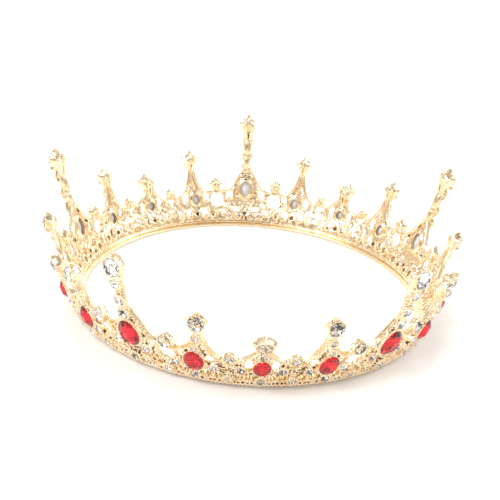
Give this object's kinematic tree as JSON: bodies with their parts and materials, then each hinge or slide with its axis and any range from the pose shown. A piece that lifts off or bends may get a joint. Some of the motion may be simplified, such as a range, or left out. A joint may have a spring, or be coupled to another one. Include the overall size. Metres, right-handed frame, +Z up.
{
  "type": "crown",
  "caption": "Round openwork metal costume crown with tall and short spires, red oval stones and clear crystals on a flat base rim.",
  "frame": {"origin": "centre of the head opening, in the plane of the rim's underside", "axes": "+Z up along the crown's centre line, from the rim towards the spires; +Y towards the middle of a tall panel; the five-fold pattern has no front"},
  "size_m": [0.1762, 0.1769, 0.05],
  "materials": {
    "polished_gold": "polished light gold plating",
    "cast_gold": "light gold plating on granulated casting",
    "red_glass": "facetted red glass, foil backed",
    "clear_crystal": "facetted clear crystal, foil backed"
  },
  "bodies": {
    "root": {"base_rim": "polished_gold", "tall_panel_1": "cast_gold", "tall_panel_2": "cast_gold", "tall_panel_3": "cast_gold", "tall_panel_4": "cast_gold", "tall_panel_5": "cast_gold", "medium_panel_1": "cast_gold", "medium_panel_2": "cast_gold", "medium_panel_3": "cast_gold", "medium_panel_4": "cast_gold", "medium_panel_5": "cast_gold", "medium_panel_6": "cast_gold", "medium_panel_7": "cast_gold", "medium_panel_8": "cast_gold", "medium_panel_9": "cast_gold", "medium_panel_10": "cast_gold", "short_panel_1": "cast_gold", "short_panel_2": "cast_gold", "short_panel_3": "cast_gold", "short_panel_4": "cast_gold", "short_panel_5": "cast_gold", "tall_bridge_cups": "cast_gold", "small_bridge_cups": "cast_gold", "lower_bridge_cups": "cast_gold", "tall_red_stone_1": "red_glass", "tall_red_stone_2": "red_glass", "tall_red_stone_3": "red_glass", "tall_red_stone_4": "red_glass", "tall_red_stone_5": "red_glass", "medium_red_stone_1": "red_glass", "medium_red_stone_2": "red_glass", "medium_red_stone_3": "red_glass", "medium_red_stone_4": "red_glass", "medium_red_stone_5": "red_glass", "medium_red_stone_6": "red_glass", "medium_red_stone_7": "red_glass", "medium_red_stone_8": "red_glass", "medium_red_stone_9": "red_glass", "medium_red_stone_10": "red_glass", "short_red_stone_1": "red_glass", "short_red_stone_2": "red_glass", "short_red_stone_3": "red_glass", "short_red_stone_4": "red_glass", "short_red_stone_5": "red_glass", "tall_finial_crystals": "clear_crystal", "medium_finial_crystals": "clear_crystal", "short_finial_crystals": "clear_crystal", "tall_stem_crystals": "clear_crystal", "medium_stem_crystals": "clear_crystal", "short_stem_crystals": "clear_crystal", "side_crystals": "clear_crystal", "bottom_crystals": "clear_crystal", "lower_bridge_crystals": "clear_crystal", "tall_bridge_crystals": "clear_crystal", "small_bridge_crystals": "clear_crystal"}
  },
  "joints": []
}
